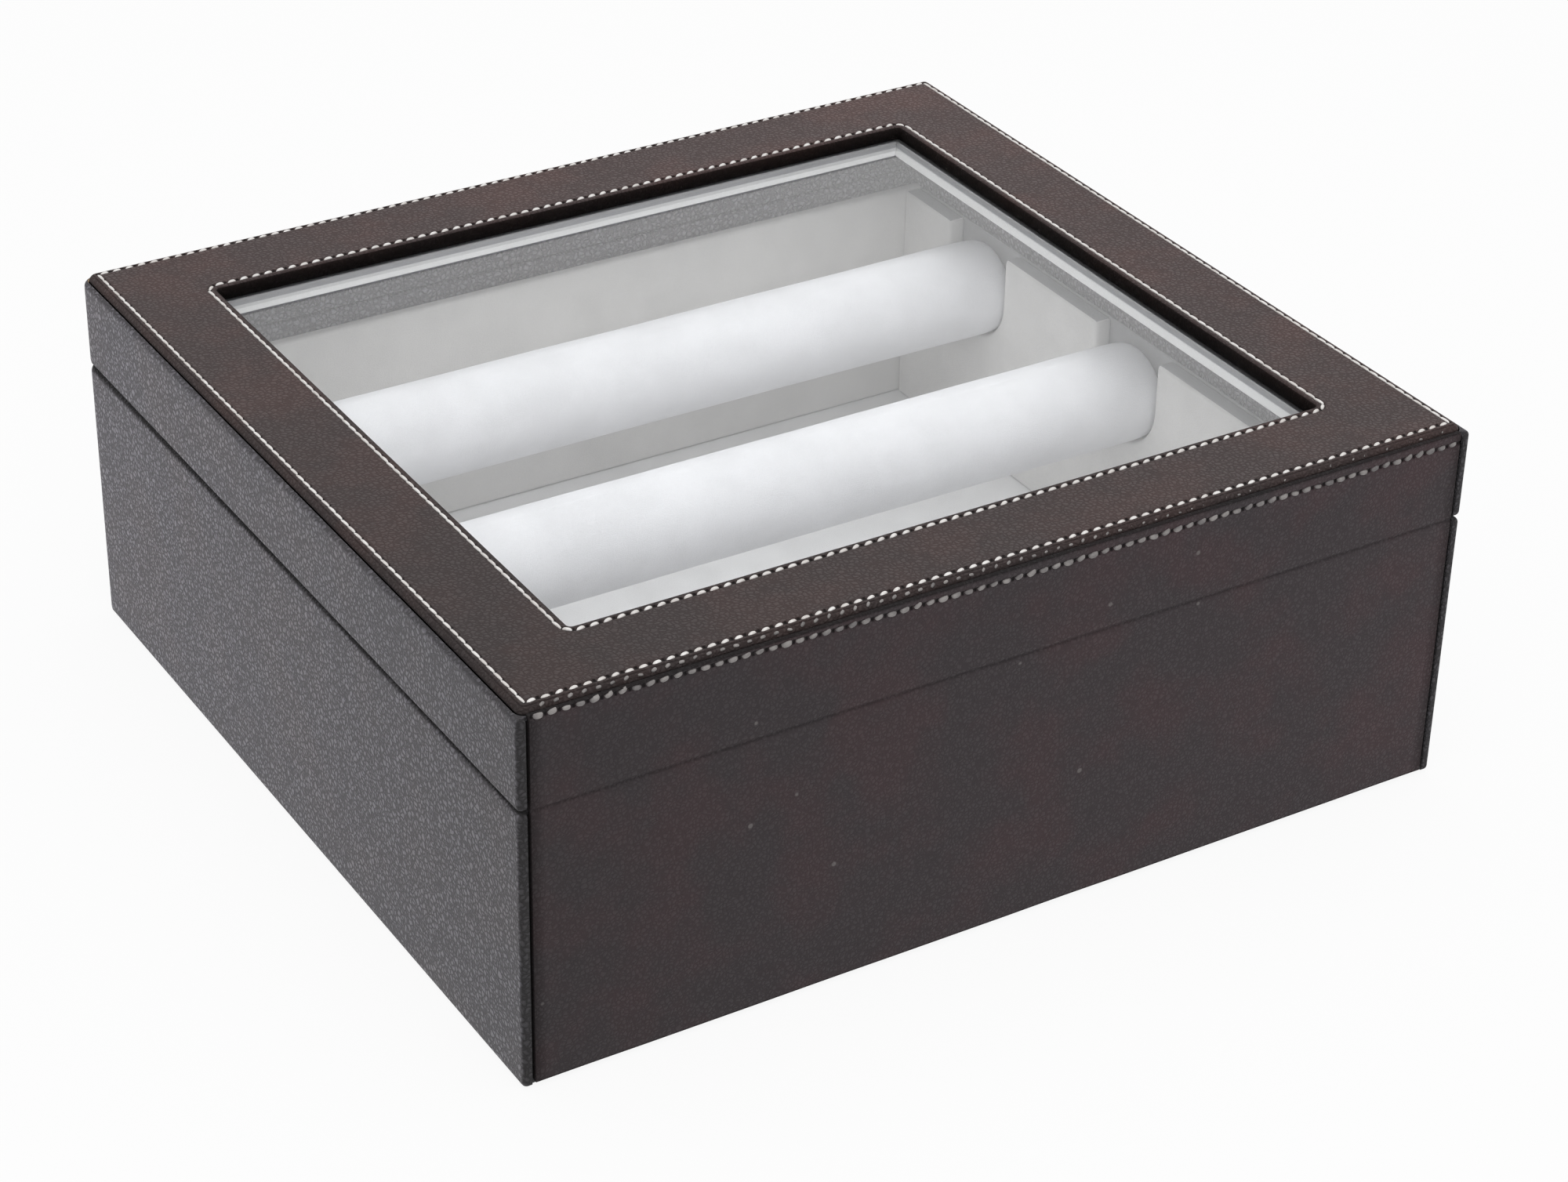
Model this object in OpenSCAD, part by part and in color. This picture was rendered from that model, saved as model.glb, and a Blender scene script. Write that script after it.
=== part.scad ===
// Leather-covered bangle box: a board base with a leather-hinged glass lid,
// and three padded rolls that lift out of slotted end holders.
// Millimetres. The origin is the middle of the underside. X runs along the
// hinge, Y from the hinge spine to the opening front, and Z is up.

/* [Box] */
// Outer width, along the hinge
box_w = 260; // [220:1:320]
// Outer depth, from the hinge spine to the front
box_d = 240; // [225:1:300]
// Overall height with the lid shut
box_h = 100; // [98:1:125]
// Depth of the lid, from the seam to the top sheet
lid_depth = 25; // [22:0.5:26]
// Gap all round between the shut lid and the base
seam_gap = 0.4; // [0.2:0.1:1]
// Radius of the upright outer corners
corner_r = 4; // [2.5:0.5:7]

/* [Boards] */
// Thickness of the side boards of the base and the lid
wall_t = 6; // [4:0.5:8]
// Thickness of the base's floor board
floor_t = 3.2; // [2:0.2:5]
// Thickness of the lid's top frame board
frame_t = 2; // [1.6:0.2:3]

/* [Leather] */
// Thickness of the covering leather
leather_t = 1.2; // [0.8:0.1:1.6]
// How far the leather is turned in past each rim
turn_in = 3.5; // [2:0.5:4]
// Radius that the leather takes over an edge
edge_r = 1.1; // [0.4:0.1:1.5]
// How far the top sheet stays in from the lid's sides
sheet_inset = 1.5; // [1.2:0.1:3]
// Width of the side leather that is turned round each corner beside the hinge spine
corner_turn = 2.2; // [1.6:0.1:6]
// Gap between the hinge spine and the leather turned round the corners
spine_gap = 0.9; // [0.4:0.1:1.5]
// Width of the fold line between the two halves of the hinge spine
crease_w = 0.6; // [0.4:0.1:2]
// How far the hinge spine stays below the top and above the underside
spine_margin = 0.8; // [0.4:0.1:2]
// Thickness of the sheet under the base
underside_t = 0.8; // [0.5:0.1:1.5]
// How far the underside sheet stays in from the base's edge
underside_inset = 3; // [2:0.5:8]

/* [Window] */
// Width of the lid's frame beside the window, at the left and right
frame_side = 27.5; // [18:0.5:45]
// Width of the lid's frame at the front and back of the window
frame_long = 26; // [18:0.5:45]
// Thickness of the glass
glass_t = 3; // [2:0.5:4]
// How far the glass reaches under the frame on each side
glass_lap = 6; // [4:0.5:7]
// Play round the edge of the glass
glass_play = 0.3; // [0.1:0.1:0.8]
// Height of the beads that hold the glass
bead_h = 3.8; // [3:0.2:5]
// How far the beads stay back from the edge of the window
bead_setback = 0.5; // [0.2:0.1:1.5]

/* [Linings] */
// Thickness of the padded linings at the base's front and back
pad_lining_t = 4; // [2:0.5:6]
// Thickness of the card linings of the lid and the base's ends
card_lining_t = 1.5; // [1.2:0.1:2]
// Thickness of the lining on the floor
floor_lining_t = 1; // [0.6:0.1:2]

/* [Rolls] */
// Diameter of a padded roll
roll_d = 27; // [22:0.5:32]
// Distance between the rolls
roll_pitch = 71.5; // [60:0.5:74]
// Height of the rolls' axes above the underside
roll_z = 55.5; // [46:0.5:56]
// Play between a roll and its slot
roll_play = 0.3; // [0.2:0.1:0.8]
// Play between a roll's end and the end lining
roll_end_play = 0.5; // [0.3:0.1:1.5]
// Rounding of a roll's ends
roll_edge_r = 2.5; // [1.5:0.1:3]
// Thickness of a roll's cover
cover_t = 0.5; // [0.3:0.1:1]
// Outer diameter of a roll's card tube
tube_d = 20; // [14:0.5:20]
// Wall of a roll's card tube
tube_t = 2; // [1:0.25:3]
// Thickness of the disc that closes a roll's end
cap_t = 1; // [0.6:0.1:2]
// Length of the plug that holds the disc in the tube
plug_l = 8; // [4:0.5:15]
// Play of one glued layer of a roll round the next
layer_play = 0.05; // [0.02:0.01:0.1]
// Thickness of the slotted boards that carry the rolls
holder_t = 5.3; // [4:0.1:7]

/* [Hidden] */
$fn = 64;
cut = 1;
seam_z = box_h - lid_depth;
base_top = seam_z - seam_gap / 2;
lid_bottom = seam_z + seam_gap / 2;

// Board sizes: what the leather covers, and the room inside
board_w = box_w - 2 * leather_t;
board_d = box_d - 2 * leather_t;
board_r = corner_r - leather_t;
inner_w = board_w - 2 * wall_t;
inner_d = board_d - 2 * wall_t;
floor_z = underside_t + floor_t;
lining_z = floor_z + floor_lining_t;
base_wall_top = base_top - leather_t;
base_lining_top = base_wall_top - turn_in;
lid_wall_bottom = lid_bottom + leather_t;
lid_lining_bottom = lid_wall_bottom + turn_in;

// Window, and the lid's levels from the top sheet down to the beads
window_w = box_w - 2 * frame_side;
window_d = box_d - 2 * frame_long;
sheet_z = box_h - leather_t;
frame_z = sheet_z - frame_t;
glass_z = frame_z - glass_t;
bead_z = glass_z - bead_h;
glass_w = window_w + 2 * glass_lap;
glass_d = window_d + 2 * glass_lap;
bead_in_w = window_w + 2 * bead_setback;
bead_in_d = window_d + 2 * bead_setback;

// Hinge spine
corner_x = box_w / 2 - corner_turn;
spine_w = 2 * (corner_x - spine_gap);

// Rolls and their holders
holder_x = inner_w / 2 - card_lining_t;
roll_l = 2 * (holder_x - roll_end_play);
pad_d = roll_d - 2 * cover_t;
pad_l = roll_l - 2 * cover_t;
tube_l = roll_l - 2 * cap_t;
slot_r = roll_d / 2 + roll_play;

leather_brown = [0.26, 0.21, 0.20];
leather_grey = [0.32, 0.30, 0.31];
board_tan = [0.72, 0.58, 0.42];
lining_beige = [0.86, 0.83, 0.78];
lining_grey = [0.42, 0.42, 0.44];
bead_white = [0.93, 0.93, 0.92];
roll_white = [0.96, 0.96, 0.98];
card_grey = [0.62, 0.58, 0.52];
foam_cream = [0.93, 0.90, 0.78];
glass_tint = [0.80, 0.90, 0.90, 0.35];

// Shared outlines and solids

module rounded_rect(w, d, r) {
    square([w - 2 * r, d], center = true);
    square([w, d - 2 * r], center = true);
    for (sx = [-1, 1], sy = [-1, 1])
        translate([sx * (w / 2 - r), sy * (d / 2 - r)]) circle(r);
}

module plate(w, d, r, z0, z1) {
    translate([0, 0, z0]) linear_extrude(z1 - z0) rounded_rect(w, d, r);
}

module block(w, d, z0, z1) {
    translate([0, 0, (z0 + z1) / 2]) cube([w, d, z1 - z0], center = true);
}

// Upright section of a covered block, with its lower and upper corners rolled over by r0 and r1
module soft_section(w, h, r0, r1) {
    translate([-w / 2, r0]) square([w, h - r0 - r1]);
    translate([r1 - w / 2, r0]) square([w - 2 * r1, h - r0]);
    translate([r0 - w / 2, 0]) square([w - 2 * r0, h - r1]);
    for (side = [-1, 1]) {
        translate([side * (w / 2 - r1), h - r1]) circle(r1);
        if (r0 > 0) translate([side * (w / 2 - r0), r0]) circle(r0);
    }
}

// A covered block whose upright corners have radius r, and whose rims roll over by r0 and r1
module soft_block(w, d, r, z0, z1, r0, r1) {
    h = z1 - z0;
    translate([0, 0, z0]) {
        rotate([90, 0, 0]) linear_extrude(d - 2 * r, center = true) soft_section(w, h, r0, r1);
        rotate([90, 0, 90]) linear_extrude(w - 2 * r, center = true) soft_section(d, h, r0, r1);
        for (sx = [-1, 1], sy = [-1, 1]) translate([sx * (w / 2 - r), sy * (d / 2 - r), 0])
            rotate_extrude() intersection() {
                soft_section(2 * r, h, r0, r1);
                square([r, h]);
            }
    }
}

// The gap in the side leather where the hinge spine lies
module spine_cut(z0, z1) {
    translate([0, -box_d / 2, 0]) block(2 * corner_x, 2 * leather_t, z0, z1);
}

// Boards at the two ends run the full depth; front and back boards fit between them
module end_board(side, z0, z1) {
    color(board_tan) intersection() {
        plate(board_w, board_d, board_r, z0, z1);
        translate([side * (board_w - wall_t) / 2, 0, 0]) block(wall_t, board_d, z0, z1);
    }
}

module long_board(side, z0, z1) {
    translate([0, side * (board_d - wall_t) / 2, 0]) color(board_tan) block(inner_w, wall_t, z0, z1);
}

module end_lining(side, z0, z1, tone, d) {
    translate([side * (inner_w - card_lining_t) / 2, 0, 0]) color(tone) block(card_lining_t, d, z0, z1);
}

module long_lining(side, t, z0, z1, tone) {
    translate([0, side * (inner_d - t) / 2, 0]) color(tone) block(inner_w, t, z0, z1);
}

// Base

module underside_sheet() {
    color(leather_brown)
        plate(box_w - 2 * underside_inset, box_d - 2 * underside_inset, corner_r, 0, underside_t);
}

module base_floor_board() {
    color(board_tan) plate(board_w, board_d, board_r, underside_t, floor_z);
}

module base_front_board() { long_board(1, floor_z, base_wall_top); }

module base_back_board() { long_board(-1, floor_z, base_wall_top); }

module base_left_board() { end_board(-1, floor_z, base_wall_top); }

module base_right_board() { end_board(1, floor_z, base_wall_top); }

module base_leather() {
    color(leather_grey) difference() {
        soft_block(box_w, box_d, corner_r, underside_t, base_top, edge_r, edge_r);
        plate(board_w, board_d, board_r, -cut, base_lining_top);
        difference() {
            plate(board_w, board_d, board_r, -cut, base_wall_top);
            block(inner_w, inner_d, base_lining_top, base_wall_top);
        }
        block(inner_w - 2 * leather_t, inner_d - 2 * leather_t, 0, base_top + cut);
        spine_cut(0, base_top + cut);
    }
}

module spine_base() {
    translate([0, -(box_d - leather_t) / 2, 0]) color(leather_brown)
        block(spine_w, leather_t, underside_t + spine_margin, seam_z - crease_w / 2);
}

module floor_lining() {
    color(lining_beige) block(inner_w, inner_d, floor_z, lining_z);
}

module base_front_lining() { long_lining(1, pad_lining_t, lining_z, base_lining_top, lining_beige); }

module base_back_lining() { long_lining(-1, pad_lining_t, lining_z, base_lining_top, lining_beige); }

module base_left_lining() {
    end_lining(-1, lining_z, base_lining_top, lining_grey, inner_d - 2 * pad_lining_t);
}

module base_right_lining() {
    end_lining(1, lining_z, base_lining_top, lining_grey, inner_d - 2 * pad_lining_t);
}

// Board with three round-bottomed slots, open at the top, for the rolls' ends
module roll_holder(side) {
    middle_x = side * (holder_x - holder_t / 2);
    color(lining_beige) difference() {
        translate([middle_x, 0, 0])
            block(holder_t, inner_d - 2 * pad_lining_t, lining_z, base_lining_top);
        for (i = [-1 : 1]) translate([middle_x, i * roll_pitch, roll_z]) {
            rotate([0, 90, 0]) cylinder(h = holder_t + 2 * cut, r = slot_r, center = true);
            block(holder_t + 2 * cut, 2 * slot_r, 0, base_lining_top);
        }
    }
}

module roll_holder_left() { roll_holder(-1); }

module roll_holder_right() { roll_holder(1); }

// Lid

module lid_front_board() { long_board(1, lid_wall_bottom, frame_z); }

module lid_back_board() { long_board(-1, lid_wall_bottom, frame_z); }

module lid_left_board() { end_board(-1, lid_wall_bottom, frame_z); }

module lid_right_board() { end_board(1, lid_wall_bottom, frame_z); }

module lid_frame_board() {
    color(board_tan) difference() {
        plate(board_w, board_d, board_r, frame_z, sheet_z);
        block(window_w + 2 * leather_t, window_d + 2 * leather_t, frame_z - cut, sheet_z + cut);
    }
}

module lid_leather() {
    color(leather_grey) difference() {
        soft_block(box_w, box_d, corner_r, lid_bottom, sheet_z, edge_r, edge_r);
        plate(board_w, board_d, board_r, lid_lining_bottom, box_h);
        difference() {
            plate(board_w, board_d, board_r, lid_wall_bottom, box_h);
            block(inner_w, inner_d, lid_wall_bottom, lid_lining_bottom);
        }
        block(inner_w - 2 * leather_t, inner_d - 2 * leather_t, lid_bottom - cut, box_h);
        spine_cut(0, box_h);
    }
}

// Top sheet, turned down over the frame board's edge to the glass
module lid_top_leather() {
    color(leather_brown) difference() {
        soft_block(box_w - 2 * sheet_inset, box_d - 2 * sheet_inset, corner_r - sheet_inset / 2,
            frame_z, box_h, 0, edge_r);
        difference() {
            block(box_w, box_d, frame_z - cut, sheet_z);
            block(window_w + 2 * leather_t, window_d + 2 * leather_t, frame_z - 2 * cut, box_h);
        }
        block(window_w, window_d, frame_z - cut, box_h + cut);
    }
}

module spine_lid() {
    translate([0, -(box_d - leather_t) / 2, 0]) color(leather_brown)
        block(spine_w, leather_t, seam_z + crease_w / 2, box_h - spine_margin);
}

module glass_spacer() {
    color(board_tan) difference() {
        block(inner_w, inner_d, glass_z, frame_z);
        block(glass_w + 2 * glass_play, glass_d + 2 * glass_play, glass_z - cut, frame_z + cut);
    }
}

module window_glass() {
    color(glass_tint) block(glass_w, glass_d, glass_z, frame_z);
}

// One bead with mitred ends, for a side of length span along X
module glass_bead(span, out_y, in_span, in_y) {
    color(bead_white) translate([0, 0, bead_z]) linear_extrude(bead_h)
        polygon([[-span / 2, out_y], [span / 2, out_y], [in_span / 2, in_y], [-in_span / 2, in_y]]);
}

module glass_bead_front() { glass_bead(inner_w, inner_d / 2, bead_in_w, bead_in_d / 2); }

module glass_bead_back() { mirror([0, 1, 0]) glass_bead_front(); }

module glass_bead_right() {
    rotate([0, 0, -90]) glass_bead(inner_d, inner_w / 2, bead_in_d, bead_in_w / 2);
}

module glass_bead_left() { mirror([1, 0, 0]) glass_bead_right(); }

module lid_front_lining() { long_lining(1, card_lining_t, lid_lining_bottom, bead_z, lining_grey); }

module lid_back_lining() { long_lining(-1, card_lining_t, lid_lining_bottom, bead_z, lining_grey); }

module lid_left_lining() {
    end_lining(-1, lid_lining_bottom, bead_z, lining_grey, inner_d - 2 * card_lining_t);
}

module lid_right_lining() {
    end_lining(1, lid_lining_bottom, bead_z, lining_grey, inner_d - 2 * card_lining_t);
}

// Rolls: each is a card tube, a foam padding, a cover turned over the ends and two end caps

module place_roll(row) {
    translate([0, row * roll_pitch, roll_z]) rotate([0, 90, 0]) children();
}

// Half outline of a roll of diameter d and length l, with rounded ends
module roll_outline(d, l, r) {
    intersection() {
        rounded_rect(d, l, r);
        translate([d / 2, 0]) square([d, l], center = true);
    }
}

module roll_tube(row) {
    place_roll(row) color(card_grey) difference() {
        cylinder(h = tube_l, d = tube_d - 2 * layer_play, center = true);
        cylinder(h = tube_l + cut, d = tube_d - 2 * tube_t, center = true);
    }
}

module roll_padding(row) {
    place_roll(row) color(foam_cream) rotate_extrude() difference() {
        roll_outline(pad_d - 2 * layer_play, pad_l - 2 * layer_play, roll_edge_r - cover_t);
        square([tube_d, roll_l], center = true);
    }
}

module roll_cover(row) {
    place_roll(row) color(roll_white) rotate_extrude() difference() {
        roll_outline(roll_d, roll_l, roll_edge_r);
        roll_outline(pad_d, pad_l, roll_edge_r - cover_t);
        square([tube_d, roll_l + cut], center = true);
    }
}

// A disc closes each end of the roll, and its plug is glued into the tube
module roll_caps(row) {
    place_roll(row) color(roll_white) for (turn = [0, 180]) rotate([turn, 0, 0]) {
        translate([0, 0, tube_l / 2 - plug_l])
            cylinder(h = plug_l, d = tube_d - 2 * tube_t - 2 * layer_play);
        translate([0, 0, tube_l / 2]) cylinder(h = cap_t, d = tube_d - 2 * layer_play);
    }
}

module roll_tube_front() { roll_tube(1); }
module roll_padding_front() { roll_padding(1); }
module roll_cover_front() { roll_cover(1); }
module roll_caps_front() { roll_caps(1); }
module roll_tube_middle() { roll_tube(0); }
module roll_padding_middle() { roll_padding(0); }
module roll_cover_middle() { roll_cover(0); }
module roll_caps_middle() { roll_caps(0); }
module roll_tube_back() { roll_tube(-1); }
module roll_padding_back() { roll_padding(-1); }
module roll_cover_back() { roll_cover(-1); }
module roll_caps_back() { roll_caps(-1); }

underside_sheet();
base_floor_board();
base_front_board();
base_back_board();
base_left_board();
base_right_board();
base_leather();
spine_base();
floor_lining();
base_front_lining();
base_back_lining();
base_left_lining();
base_right_lining();
roll_holder_left();
roll_holder_right();
lid_front_board();
lid_back_board();
lid_left_board();
lid_right_board();
lid_frame_board();
lid_leather();
lid_top_leather();
spine_lid();
glass_spacer();
window_glass();
glass_bead_front();
glass_bead_back();
glass_bead_left();
glass_bead_right();
lid_front_lining();
lid_back_lining();
lid_left_lining();
lid_right_lining();
roll_tube_front();
roll_padding_front();
roll_cover_front();
roll_caps_front();
roll_tube_middle();
roll_padding_middle();
roll_cover_middle();
roll_caps_middle();
roll_tube_back();
roll_padding_back();
roll_cover_back();
roll_caps_back();
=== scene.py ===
import math
from collections import namedtuple

import bmesh
import bpy
from mathutils import Euler, Matrix, Vector, noise


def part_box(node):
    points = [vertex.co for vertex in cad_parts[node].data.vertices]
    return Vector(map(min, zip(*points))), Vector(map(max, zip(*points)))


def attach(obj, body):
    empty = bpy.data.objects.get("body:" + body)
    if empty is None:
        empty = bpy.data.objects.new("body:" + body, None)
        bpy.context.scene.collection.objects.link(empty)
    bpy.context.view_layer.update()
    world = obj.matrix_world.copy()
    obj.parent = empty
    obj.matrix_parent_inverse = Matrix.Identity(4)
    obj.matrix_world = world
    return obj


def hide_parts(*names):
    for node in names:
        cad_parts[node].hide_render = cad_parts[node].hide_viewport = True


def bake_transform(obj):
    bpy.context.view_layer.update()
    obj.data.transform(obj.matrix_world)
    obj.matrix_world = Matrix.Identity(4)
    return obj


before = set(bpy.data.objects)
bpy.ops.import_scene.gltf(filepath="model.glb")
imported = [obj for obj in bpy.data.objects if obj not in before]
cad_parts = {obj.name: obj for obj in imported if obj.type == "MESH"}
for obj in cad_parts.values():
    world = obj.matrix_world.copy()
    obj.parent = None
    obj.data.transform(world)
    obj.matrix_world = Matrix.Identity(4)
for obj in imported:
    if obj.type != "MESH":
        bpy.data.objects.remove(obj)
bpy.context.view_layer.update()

# Sizes in metres

MM = 0.001

# Leather
LEATHER_T = 1.2 * MM
SPINE_CORNER_R = 1.3 * MM
FRONT_CORNER_R = 5.0 * MM
SHEET_CORNER_R = 2.2 * MM
WINDOW_CORNER_R = 1.2 * MM
RIM_CORNER_R = 0.8 * MM
SMALLEST_CORNER_R = 0.3 * MM
EDGE_R = 1.1 * MM
SEAM_EDGE_R = 1.5 * MM
SEAM_STEPS = 6
RIM_EDGE_R = 0.8 * MM
UNDERSIDE_FOLD = 2.5 * MM
SPINE_GAP = 0.9 * MM
CORNER_STEPS = 6
ROLL_STEPS = 4
STACK_STEP = 5.0 * MM
MERGE_DISTANCE = 0.01 * MM
CUT_DISTANCE = 0.001 * MM

# Top sheet, padded so that it stands a little higher than its flat solid
CROWN = 0.65 * MM
SHEET_EDGE_R = 2.5 * MM
GROOVE_INSET = 1.25 * MM
GROOVE_DEPTH = 0.2 * MM
GROOVE_HALF = 0.25 * MM
FRAME_SWELL = 0.15 * MM

# Window
WINDOW_PAST_BEAD_X = 0.25 * MM
WINDOW_PAST_BEAD_Y = -0.6 * MM
WINDOW_EDGE_R = 0.8 * MM
WINDOW_EDGE_DROP = 0.1 * MM
BEAD_LEDGE_SLOPE = 0.5
BEAD_LEDGE_SHARE = 0.55

# Stitching: the rows along the hinge, those along the sides, the spine's row and the thread round its edge
Sewing = namedtuple("Sewing", "length thickness slant unevenness")
CROSS_ROW = Sewing(2.3 * MM, 1.12, math.radians(16), 1.0)
SIDE_ROW = Sewing(3.5 * MM, 0.85, math.radians(4), 0.5)
SPINE_ROW = Sewing(2.3 * MM, 1.4, math.radians(14), 3.0)
EDGE_ROW = Sewing(1.4 * MM, 0.8, math.radians(20), 2.5)
STITCH_PITCH = 3.4 * MM
THREAD_WIDTH = 0.95 * MM
THREAD_HEIGHT = 0.8 * MM
THREAD_DIVE = 0.3
STITCH_SWAY = 0.12 * MM
LENGTH_VARIES = 0.08
THICKNESS_VARIES = 0.1
CHANNEL_DEPTH = 0.4 * MM
CHANNEL_HALF = 0.8 * MM
HOLE_DEPTH = 0.35 * MM
OUTER_ROW_INSET = 2.45 * MM
OUTER_ROW_SEAT = 0.12
EDGE_ROW_INSET = 0.75 * MM
EDGE_ROW_SINK = 0.45 * MM
WINDOW_ROW_INSET = 2.0 * MM
WINDOW_ROW_CUT = 2.2 * MM
WINDOW_ROW_SEAT = 0.3
SPINE_ROW_DROP = 2.7 * MM
SPINE_ROW_START_DROP = 0.3 * MM
SPINE_ROW_LEVEL_X = 5.0 * MM
SPINE_ROW_MARGIN = 0.5 * MM
SPINE_ROW_REACH = 9.0 * MM

# Hinge spine
CREASE_DEPTH = 0.35 * MM
CREASE_HALF = 1.6 * MM
SPINE_EDGE_R = 0.45 * MM
SPINE_SHARP_ANGLE = math.radians(60)
SPINE_WAVE = 0.2 * MM

# Rolls
ROLL_SEGMENTS = 48
ROLL_RINGS = 84
END_HOLE_R = 10.0 * MM
END_TUCK = 3.0 * MM
END_LIP = 0.3 * MM
END_FOLDS = 22
END_FOLD_DEPTH = 0.25 * MM
END_FOLD_REACH = 4.0 * MM
ROLL_SHOULDER = 2.2 * MM
SHOULDER_STEPS = 3
ROLL_WAVE = 0.18 * MM
ROLL_WAVES_ALONG = 28.0
ROLL_WAVES_AROUND = 1.2
ROLL_WAVE_SHIFT = 40.0
ROLL_TURNS = {"front": math.radians(8), "middle": math.radians(-11), "back": math.radians(4)}

# Cloth of the roll covers
COVER_SLACK = 0.55 * MM
COVER_PRESSURE = 60.0
COVER_STRETCH = 0.1
COVER_BENDING = 0.01
COVER_MASS = 0.3
COVER_FRAMES = 20
RINGS_PER_TACK = 4

# Leather's colour, and how dark its painted shade is in seams, grooves, folds, gaps and needle holes; also
# its painted light from one side
SHADE_BLACK = (0.003, 0.002, 0.002, 1)
CREASE_DYE_AND_SHADE_TONE = (0.008, 0.006, 0.006, 1)
DUST_TONE = (0.35, 0.33, 0.32, 1)
DUST_SPREAD = 75.0
DUST_SHARE = 0.3
PORES_PER_CELL = 4
ROW_SHADE = 0.2
PAINTED_SHADE_STRENGTH = 0.94
PAINTED_SHADE_ROUGHNESS = 0.4
CREASE_ROUGHNESS = 0.2
# Painted shade, as shares of near black: bare edges, seams, corner strip, sheet groove, rim and underside,
# turned edge, spine fold, ends and rims
BARE_EDGE_SHADE = 0.55
SEAM_SHADE = 0.95
SEAM_SHADOW = 0.5 * MM
SEAM_SHADOW_GAIN = 0.9 * MM
CORNER_STRIP_SHADE = 0.85
GROOVE_SHADE = 0.5
SHEET_RIM_SHADE = 0.3
SHEET_UNDER_SHADE = 0.7
TURNED_EDGE_SHADE = 0.45
TURNED_WALL_SHADE = 0.5
FOLD_SHADE = 0.4
SPINE_END_SHADE = 0.6
SPINE_RIM_SHADE = 0.9
DYE_PATCHES = 40.0
# Painted light: the leather's colour grows lighter towards one corner, as from light falling on that side
PAINTED_LIGHT_DIRECTION = (0.6, 0.8, 0.0)
PAINTED_LIGHT_REACH = 120.0 * MM

# Cloth, and the rounded edges of linings, holders and beads
SUEDE_FIBRES = 2600.0
VELVET_FIBRES = 3200.0
BRUSH_MARKS = 60.0
WALL_EDGE_R = 1.2 * MM
SLOT_EDGE_R = 0.5 * MM
FLOOR_EDGE_R = 0.3 * MM
LID_EDGE_R = 0.4 * MM
EDGE_STEPS = 3
SHARP_ANGLE = math.radians(30)
FLAT_ANGLE = math.radians(1)

# Camera, fitted to the photograph
CAMERA_AZIMUTH = -31.903
CAMERA_ELEVATION = 31.123
CAMERA_ROLL = 1.234
CAMERA_DISTANCE = 980.04 * MM
CAMERA_TARGET = Vector((7.221, -5.0, 29.848)) * MM
CAMERA_LENS = 87.19
SENSOR_WIDTH = 36.0


# Shader tools

def fill(tree, node, inputs):
    """Sets a node's inputs, and links those that are given as sockets."""
    for name, value in inputs.items():
        if isinstance(value, bpy.types.NodeSocket):
            tree.links.new(value, node.inputs[name])
        else:
            node.inputs[name].default_value = value


def add_node(tree, kind, inputs=None, **settings):
    """Adds a shader node, sets its properties, and fills its inputs."""
    node = tree.nodes.new("ShaderNode" + kind)
    for name, value in settings.items():
        setattr(node, name, value)
    fill(tree, node, inputs or {})
    return node


def math_node(tree, operation, *values, clamp=False):
    node = add_node(tree, "Math", dict(enumerate(values)), operation=operation, use_clamp=clamp)
    return node.outputs[0]


def mix_colour(tree, factor, first, second, blend="MIX"):
    inputs = {0: factor, 6: first, 7: second}
    return add_node(tree, "Mix", inputs, data_type="RGBA", blend_type=blend).outputs[2]


def remap(tree, value, low, high, to_low=0.0, to_high=1.0):
    inputs = {"Value": value, 1: low, 2: high, 3: to_low, 4: to_high}
    return add_node(tree, "MapRange", inputs, interpolation_type="SMOOTHSTEP").outputs[0]


def noise_value(tree, place, scale, detail=2.0, roughness=0.5):
    inputs = {"Vector": place, "Scale": scale, "Detail": detail, "Roughness": roughness}
    return add_node(tree, "TexNoise", inputs).outputs[0]


SOCKET_KINDS = {"Place": "Vector", "Tone": "Color", "Patch Tone": "Color", "Colour": "Color"}


def new_group(name, inputs, outputs):
    """A shader node group and the sockets of its two end nodes, floats where no other kind is named."""
    group = bpy.data.node_groups.new(name, "ShaderNodeTree")
    for direction, labels in (("INPUT", inputs), ("OUTPUT", outputs)):
        for label in labels:
            kind = "NodeSocket" + SOCKET_KINDS.get(label, "Float")
            group.interface.new_socket(label, in_out=direction, socket_type=kind)
    start = group.nodes.new("NodeGroupInput")
    end = group.nodes.new("NodeGroupOutput")
    return group, start.outputs, end.inputs


def use_group(tree, group, inputs):
    return add_node(tree, "Group", inputs, node_tree=group).outputs


def new_material(name):
    """A material with a Principled shader, and the socket of its object coordinates."""
    material = bpy.data.materials.new(name)
    material.use_nodes = True
    tree = material.node_tree
    shader = tree.nodes["Principled BSDF"]
    place = add_node(tree, "TexCoord").outputs["Object"]
    return material, tree, shader, place


def attribute(tree, name):
    """A measure that the mesh stores at its points, 0 where it has none."""
    return add_node(tree, "Attribute", attribute_name=name).outputs["Fac"]


def set_bump(tree, shader, height, distance=1.0):
    bump = add_node(tree, "Bump", {"Height": height, "Distance": distance})
    tree.links.new(bump.outputs["Normal"], shader.inputs["Normal"])


def set_inputs(tree, shader, **values):
    """Fills a shader's inputs, named with _ for each space."""
    fill(tree, shader, {name.replace("_", " "): value for name, value in values.items()})


# Shared surface effects

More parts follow.
